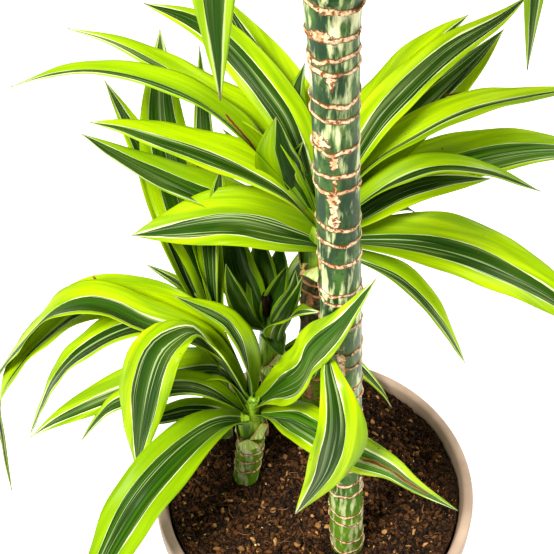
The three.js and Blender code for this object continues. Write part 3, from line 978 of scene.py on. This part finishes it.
# %% [markdown]
# ## The leaves
#
# Every leaf is the same thing: a folded strip, widest before its middle and drawn out to a
# point. The strip is modelled once, as a flat grid one unit long and two wide. Each leaf is a
# copy of it that is laid along its own midrib. A Curve modifier would turn the blade over where
# a leaf stands upright and arches back, so the points are laid by a formula that keeps each
# blade square to its own compass direction. Solidify then gives all blades of a head their
# thickness.

# %% Model one flat strip
BLADE_ROWS = 48
BLADE_COLUMNS = 12
strip = added(bpy.ops.mesh.primitive_grid_add, x_subdivisions=BLADE_ROWS,
              y_subdivisions=BLADE_COLUMNS, size=2)
editing(strip)
bpy.ops.transform.resize(value=(0.5, 1, 1))
bpy.ops.transform.translate(value=(0.5, 0, 0))
end_edit()
strip_points = points_of(strip) * MM
strip_faces = faces_of(strip)
bpy.data.objects.remove(strip)
print("strip:", len(strip_points), "points")

# %% Draw a midrib and a leaf's outline
def midrib(stations):
    """A smooth line through the root and the stations, and how far along it each point is."""
    points = np.array([(0, 0, 0)] + [(*s, 0)[:3] for s in stations], dtype=float)
    knots = np.vstack([2 * points[0] - points[1], points, 2 * points[-1] - points[-2]])
    t = np.linspace(0, 1, 30, endpoint=False)[:, None]
    spans = [
        0.5 * (2 * b + (c - a) * t + (2 * a - 5 * b + 4 * c - d) * t**2 + (3 * b - a - 3 * c + d) * t**3)
        for a, b, c, d in zip(knots, knots[1:], knots[2:], knots[3:])
    ]
    line = np.vstack([*spans, points[-1:]])
    run = np.concatenate([[0], np.cumsum(np.linalg.norm(np.diff(line, axis=0), axis=1))])
    return line, run


def taper(along, spec):
    """Half width of a leaf along its length, as a share of its widest."""
    widening = smooth_step((along - spec["widest"] + spec["swell"]) / spec["swell"])
    narrowing = np.clip((along - spec["widest"]) / (1 - spec["widest"]), 0, 1)
    return (spec["neck"] + (1 - spec["neck"]) * widening) * (1 - narrowing**1.8)


print(f"midrib of one leaf: {midrib(HEADS['short']['leaves'][0]['stations'])[1][-1]:.0f} mm")

# %% Carry a frame along the midrib
REACH = 4


def carried(spec, axis, along):
    """The midrib's length, and its place and the blade's two directions at each share along."""
    line, run = midrib(spec["stations"])
    turn = math.radians(spec["angle"])
    outward = np.array((math.cos(turn), math.sin(turn), 0))
    sideways = np.array((-math.sin(turn), math.cos(turn), 0))
    root = np.array((*axis, SOIL_TOP + spec["height"]))
    space = line[:, :1] * outward + line[:, 2:3] * sideways + line[:, 1:2] * np.array((0, 0, 1)) + root
    length = run[-1]

    def on_line(distance):
        return np.stack([np.interp(distance, run, space[:, k]) for k in range(3)], axis=1)

    ahead = on_line(np.minimum(along * length + REACH, length))
    behind = on_line(np.maximum(along * length - REACH, 0))
    tangent = ahead - behind
    tangent /= np.linalg.norm(tangent, axis=1)[:, None]
    cross = sideways - tangent * (tangent @ sideways)[:, None]
    cross /= np.linalg.norm(cross, axis=1)[:, None]
    up = np.cross(tangent, cross)
    bank = np.radians(spec["roll"] + spec["twist"] * along)[:, None]
    right = cross * np.cos(bank) + up * np.sin(bank)
    normal = up * np.cos(bank) - cross * np.sin(bank)
    return length, on_line(along * length), right, normal


print("a blade's direction is taken over", 2 * REACH, "mm")

# %% Lay a strip along a midrib
TIP_WIDTH = 0.5
CREASE = 0.006
FOLD = 14
FOLD_AT_ROOT = 45
LONG_WAVE, SHORT_WAVE, EDGE_WAVE = 11, 6.3, 17
NOWHERE = 99.0


def cracked(spec, length, along_mm, across_mm):
    """How far each point is from a leaf's dry crack, and how far along the crack it lies."""
    away = np.full((3, len(along_mm)), NOWHERE)
    if spec["tear"]:
        size = (length, spec["width"] / 2)
        start, end = np.array(spec["tear"]) * size
        run = end - start
        offset = np.stack([along_mm, across_mm], axis=1) - start
        away[0] = (offset[:, 0] * run[1] - offset[:, 1] * run[0]) / np.linalg.norm(run)
        away[1] = offset @ run / np.linalg.norm(run)**2
    return away


def laid(spec, axis, rng):
    """Points of one blade and what its finish reads at each point."""
    along, across = strip_points[:, 0], strip_points[:, 1]
    length, centre, right, normal = carried(spec, axis, along)
    half = np.maximum(TIP_WIDTH / 2, spec["width"] / 2 * taper(along, spec))
    fold = np.radians(FOLD + FOLD_AT_ROOT * (1 - along) ** 1.5)
    out = np.abs(across)
    side = np.sign(across)
    phase = rng.uniform(0, 2 * math.pi, 4)
    distance = along * length
    wave = np.sin(distance / LONG_WAVE + phase[0] + side * phase[1])
    wave += 0.7 * np.sin(distance / SHORT_WAVE + phase[2] * side)
    swell = np.sin(math.pi * np.clip(along, 0.05, 1)) * spec["width"] / 36
    ripple = 0.75 * wave * out**2 * swell
    spread = 1 + 0.018 * np.sin(distance / EDGE_WAVE + phase[3] + side) * out
    keel = np.sqrt(out**2 + CREASE) - math.sqrt(CREASE)
    bow = 0.13 * out * (1 - out)
    lift = half * (keel * np.sin(fold) + bow - 0.2 * along * out**1.4) + ripple
    points = centre + right * (half * across * np.cos(fold) * spread)[:, None] + normal * lift[:, None]
    seed = rng.random()
    drift = rng.uniform(-0.15, 0.15, 2)
    low, high = spec["dark"] or (drift[0] - 0.45, drift[1] + 0.45)
    even = np.ones(len(along))
    marks = {
        "blade": (across, along, seed * even),
        "measure": (half * across, distance, 0 * even),
        "dark": (half * low, half * high, spec["lined_and_lit"] * even),
        "tear": cracked(spec, length, distance, half * across),
    }
    return points, {mark: np.stack(parts, axis=1) for mark, parts in marks.items()}


print("leaves in all:", sum(len(head["leaves"]) for head in HEADS.values()))

# %% Join the blades of a head
BLADE_THICKNESS = 0.45


def foliage(name, leaves, axis, seed):
    """All blades of one head as one piece."""
    rng = np.random.default_rng(seed)
    sheets = [laid(spec, axis, rng) for spec in leaves]
    points = np.vstack([sheet[0] for sheet in sheets])
    polygons = [
        tuple(corner + index * len(strip_points) for corner in face)
        for index in range(len(sheets))
        for face in strip_faces
    ]
    piece = joined(name, points, polygons)
    for attribute in sheets[0][1]:
        add_attribute(piece, attribute, np.vstack([sheet[1][attribute] for sheet in sheets]))
    modify(piece, "SOLIDIFY", thickness=BLADE_THICKNESS * MM, offset=-1)
    return piece


def head_axis(name):
    """Where a head stands: the middle of its cane's top, as x and y."""
    cane = CANES[name]
    core_foot = HEADS[name]["core"][0][1]
    return cane["foot"][0] + cane["lean"] * core_foot, cane["foot"][1]


print("axis of the tall head:", head_axis("tall"))

# %% [markdown]
# The leaf's pattern follows the blade, so its finish reads four attributes. `blade` holds how
# far across (-1 to 1) and along (0 to 1) a point lies and one random number for each leaf.
# `measure` holds millimetres across and along. `dark` holds the millimetres across at which the
# dark centre starts and ends, and how strongly the leaf is lined, which below 1 also paints it as
# in shade, and `tear` how far a point is from a dry crack and how far along it. Lime margins, a
# white line of uneven width and a dark centre with pale stripes are all masks on these, and so are
# a painted grey sheen on the centre and painted shade that darkens the margins near the root and
# on shaded leaves.

# %% Finish the leaves
def leaf_finish():
    skin = Finish("striped_leaf", {"Specular IOR Level": 0.045, "Coat Roughness": 0.26})
    across, along, seed = skin.split("blade")
    across_mm, along_mm, _ = skin.split("measure")
    low_mm, high_mm, lined_and_lit = skin.split("dark")
    side = (2.0 * across_mm - low_mm - high_mm).sign()
    slow = skin.noise((along * 2.4, side * 3.0, seed * 41.0), detail=1) - 0.5
    jitter = skin.noise((along_mm * 0.12, side * 5.0, seed * 17.0), detail=3) - 0.5
    inward = (across_mm - low_mm).smaller(high_mm - across_mm)
    inward = inward + 0.4 * (high_mm - low_mm) * slow + 0.6 * jitter

    lanes = skin.noise((across * 5.2 + seed * 50.0, along * 0.8, seed * 9.0), detail=2)
    threads = skin.noise((across * 13.0 + seed * 70.0, along * 1.1, seed * 5.0), detail=2)
    hair = skin.noise((across_mm * 1.5, along_mm * 0.02, seed * 30.0), detail=2)
    patch = skin.noise((across * 1.3, along * 3.5, seed * 60.0), detail=1)
    # A painted grey-green sheen on the dark centre, in lanes and patches.
    painted_sheen = skin.rise(lanes, 0.52, 0.66) * skin.rise(patch, 0.3, 0.6)
    # The line strength also paints shade: below 1 it dims the pale lines and the painted sheen and turns
    # the margins olive.
    young = skin.rise(lined_and_lit, 1.0, 2.0)
    lined_and_lit = lined_and_lit.smaller(1.0)
    centre = skin.coats(
        "#183502",
        (skin.rise(seed, 0.2, 0.95), "#2f5703"),
        (young, "#528a10"),
        (skin.rise(threads, 0.4, 0.6), "#0a1f02"),
        (0.6 * skin.rise(patch, 0.5, 0.72), "#465c17"),
        (0.55 * painted_sheen * lined_and_lit, "#7d935a"),
        (0.75 * lined_and_lit * skin.rise(threads, 0.59, 0.66), "#a9c27c"),
        (0.15 * hair, "#4f8a1c"),
    )

    shade = skin.noise((across_mm * 0.16, along_mm * 0.014, seed * 23.0), detail=2)
    # Painted shade: margins and white lines darken towards the root, inside the head.
    root_shade = skin.rise(along_mm, 84.0, 10.0)
    margin = skin.coats(
        "#7b9f00",
        (skin.rise(shade, 0.3, 0.7), "#afcf00"),
        (0.4 * skin.rise(hair, 0.46, 0.7), "#6d9f03"),
        (0.6 * skin.rise(seed, 0.55, 1.0), "#6f9a04"),
        (0.72 * root_shade, "#456a03"),
        # Painted shade: olive margins on leaves with weak lines, which sit in the head's shade.
        (0.7 - 0.7 * lined_and_lit, "#527a04"),
    )
    clear = skin.noise((along_mm * 0.022, side * 7.0, seed * 11.0), detail=2)
    thick = 0.1 + 0.95 * skin.rise(clear, 0.4, 0.75)
    line = skin.rise(abs(inward + 0.2 * thick), thick, 0.4 * thick)

    place = skin.place()
    specks = skin.node("TexVoronoi", {}, {"Vector": place, "Scale": 95.0, "Randomness": 1.0})
    rare = skin.noise(place, scale=34, detail=1)
    speck = skin.rise(specks, 0.085, 0.045) * skin.rise(rare, 0.54, 0.6)
    rim = skin.rise(abs(across), 0.965, 0.995) * skin.rise(shade, 0.52, 0.66)
    from_crack, on_crack, _ = skin.split("tear")
    from_crack = abs(from_crack + 3.0 * jitter)
    on_crack = skin.rise(abs(on_crack - 0.5), 0.5, 0.44)
    dry_tip = skin.rise(along + 0.01 * jitter, 0.985, 0.996)
    skin.colour(skin.coats(
        margin,
        (skin.rise(inward, -0.15, 0.2), centre),
        # White lines, dimmed by painted shade near the root and on shaded leaves.
        (line * lined_and_lit * (0.9 - 0.5 * root_shade), "#e2ebb8"),
        (speck * 0.8, "#6e3d12"),
        (rim * 0.4, "#9a7a2c"),
        (skin.rise(from_crack, 1.9, 0.7) * on_crack * 0.5, "#a08a3a"),
        (skin.rise(from_crack, 0.9, 0.5) * on_crack, "#6b3b16"),
        (dry_tip * 0.7, "#8a6a3a"),
    ))
    skin.plug(skin.shader.inputs["Coat Weight"], 0.05 + 0.3 * skin.rise(patch, 0.52, 0.72))
    skin.roughness(0.42 + 0.16 * lanes)
    skin.bump(0.7 * lanes + 0.25 * threads + 0.12 * hair, 1.0 * MM, 0.7)
    return skin


striped_leaf = leaf_finish()
print("nodes in the leaf's finish:", len(striped_leaf.tree.nodes))

# %% Lay the heads of leaves
for seed, (name, head) in enumerate(HEADS.items()):
    leaves = foliage(f"leaves_{name}", head["leaves"], head_axis(name), 100 + seed)
    finish_piece(leaves, f"leaves_{name}", striped_leaf, [f"head_{name}"])

# %% [markdown]
# ## Cores of the heads
#
# The leaves of a head clasp one another round a short green stem. That core is a spun outline
# too, and only its upper part shows between the leaves.

# %% Model and finish the cores
sheath = Finish("leaf_sheath", {"Roughness": 0.4, "Specular IOR Level": 0.3})
place = sheath.place()
long_grain = sheath.noise(sheath.stretch(place, (260, 260, 30)), detail=3)
sheath.colour(sheath.blend(sheath.rise(long_grain, 0.35, 0.65), "#365f0c", "#8fb52a"))
sheath.bump(long_grain, 0.5 * MM)


def turned(name, outline, axis, steps):
    """A spun piece that stands on the soil's level, round an axis of its own."""
    piece = spun(name, [(radius, height + SOIL_TOP) for radius, height in outline], steps)
    piece.location = (axis[0] * MM, axis[1] * MM, 0)
    settle(piece)
    return piece


for name, head in HEADS.items():
    core_foot, core_top = head["core"][0][1], head["core"][-1][1]
    sides = [(radius - 0.4, height) for radius, height in head["core"]]
    core = turned(f"core_{name}", [(0, core_foot), *sides, (0, core_top + 0.5)], head_axis(name), 24)
    finish_piece(core, f"core_{name}", sheath)

# %% [markdown]
# Old leaf bases clasp the foot of each core: short scales that wrap the stem, pale and dry at
# their edges. They are laid like leaves, from a few stations that climb the stem. The short
# head also carries a blunt rolled bud, and a dried stub is left in the middle head.

# %% Model the leaf bases
SCALES = 5
scale = Finish("dry_scale", {"Roughness": 0.55, "Specular IOR Level": 0.2})
across, along, seed = scale.split("blade")
veins = scale.noise((across * 9.0, along * 1.5, seed * 40.0), detail=2)
scale.colour(scale.coats(
    "#a6d038",
    (scale.rise(veins, 0.4, 0.62), "#f6f4c4"),
    (scale.rise(along, 0.3, 1.0) * 0.5, "#93b733"),
    (scale.rise(abs(across) + 0.3 * veins, 0.95, 1.08), "#b88a58"),
))
scale.bump(veins, 0.5 * MM)

for seed, (name, head) in enumerate(HEADS.items()):
    stem, core_foot = head["core"][0]
    scales = []
    for index in range(SCALES):
        climb = core_foot - 3 + index * 3.5
        tall = 16 + 4 * (index % 2)
        path = [(stem + 0.7, 1), (stem + 1.3, tall * 0.5), (stem + 1.1, tall)]
        angle = FRONT + index * GOLDEN_ANGLE
        scales.append(leaf(climb, angle, path, stem * 2.1, neck=0.9, widest=0.5))
    bases = foliage(f"leaf_bases_{name}", scales, head_axis(name), 300 + seed)
    finish_piece(bases, f"leaf_bases_{name}", scale)

# %% Model the bud and the stub
BUD_AXIS = (-44.5, 11.5)
BUD_SLANT = 0.35
bud = turned("short_bud", [(0, 82), (3.6, 82), (4.1, 96), (4.6, 103), (4.2, 104), (3.2, 101),
                           (2.2, 103.5), (1.4, 101), (0, 101)], BUD_AXIS, 24)
slanted = points_of(bud)
slanted[:, 2] += BUD_SLANT * (slanted[:, 0] - BUD_AXIS[0]) * (slanted[:, 2] > SOIL_TOP + 95)
set_points(bud, slanted)
finish_piece(bud, "short_bud", sheath)

husk = Finish("dry_husk", {"Roughness": 0.9, "Specular IOR Level": 0.1})
husk_grain = husk.noise(husk.stretch(husk.place(), (500, 500, 60)), detail=3)
husk.colour(husk.blend(husk.rise(husk_grain, 0.5, 0.75), "#0b0603", "#3a2414"))
husk.bump(husk_grain, 0.8 * MM)
stub = turned("middle_stub", [(0, 116), (3, 116), (3.6, 134), (2.6, 138), (1.2, 135), (0, 136)],
              (-36, 82), 16)
finish_piece(stub, "middle_stub", husk)

# %% [markdown]
# ## The studio
#
# A pale floor, a white surround and two soft, slightly warm lamps. The camera looks down past
# the tall cane's head, as the photograph does. All places here are in metres.

# %% Floor and light
LIT = (0, 0, 0.4)
floor = added(bpy.ops.mesh.primitive_plane_add, size=60, location=(0, 0, 0))
floor.name = "studio_floor"
paper = Finish("white_paper", {
    "Base Color": (0.93, 0.93, 0.93, 1),
    "Roughness": 1.0,
    "Specular IOR Level": 0.0,
    "Emission Color": (1, 1, 1, 1),
    "Emission Strength": 0.5,
})
floor.data.materials.append(paper.material)

surround = bpy.data.worlds.new("white_surround")
surround.use_nodes = True
background = surround.node_tree.nodes["Background"].inputs
background["Color"].default_value = (1, 0.985, 0.93, 1)
background["Strength"].default_value = 0.42
bpy.context.scene.world = surround


def lamp(name, location, size, power):
    """A square lamp turned towards the middle of the plant, with its power in watts."""
    light = bpy.data.lights.new(name, "AREA")
    light.size = size
    light.energy = power
    light.color = (1, 0.965, 0.87)
    piece = linked(name, light)
    piece.location = location
    piece.rotation_euler = (Vector(LIT) - Vector(location)).to_track_quat("-Z", "Y").to_euler()


lamp("key_softbox", (-0.8, -0.9, 1.9), size=0.5, power=64)
lamp("side_softbox", (1.3, 0.6, 1.5), size=0.8, power=24)
print("floor, surround and two lamps")

# %% Camera
PHOTO_SIDE = 554
FOCAL_PIXELS = 1090
PITCH_DOWN = 46.2
lens = bpy.data.cameras.new("camera")
lens.sensor_width = 36
lens.lens = FOCAL_PIXELS / PHOTO_SIDE * lens.sensor_width
camera = linked("camera", lens)
camera.location = (-0.028, -0.460, 0.918)
camera.rotation_euler = (math.radians(90 - PITCH_DOWN), 0, 0)
bpy.context.scene.camera = camera
bpy.context.scene.view_settings.view_transform = "Standard"
print(f"lens {lens.lens:.1f} mm, {PITCH_DOWN} degrees down")
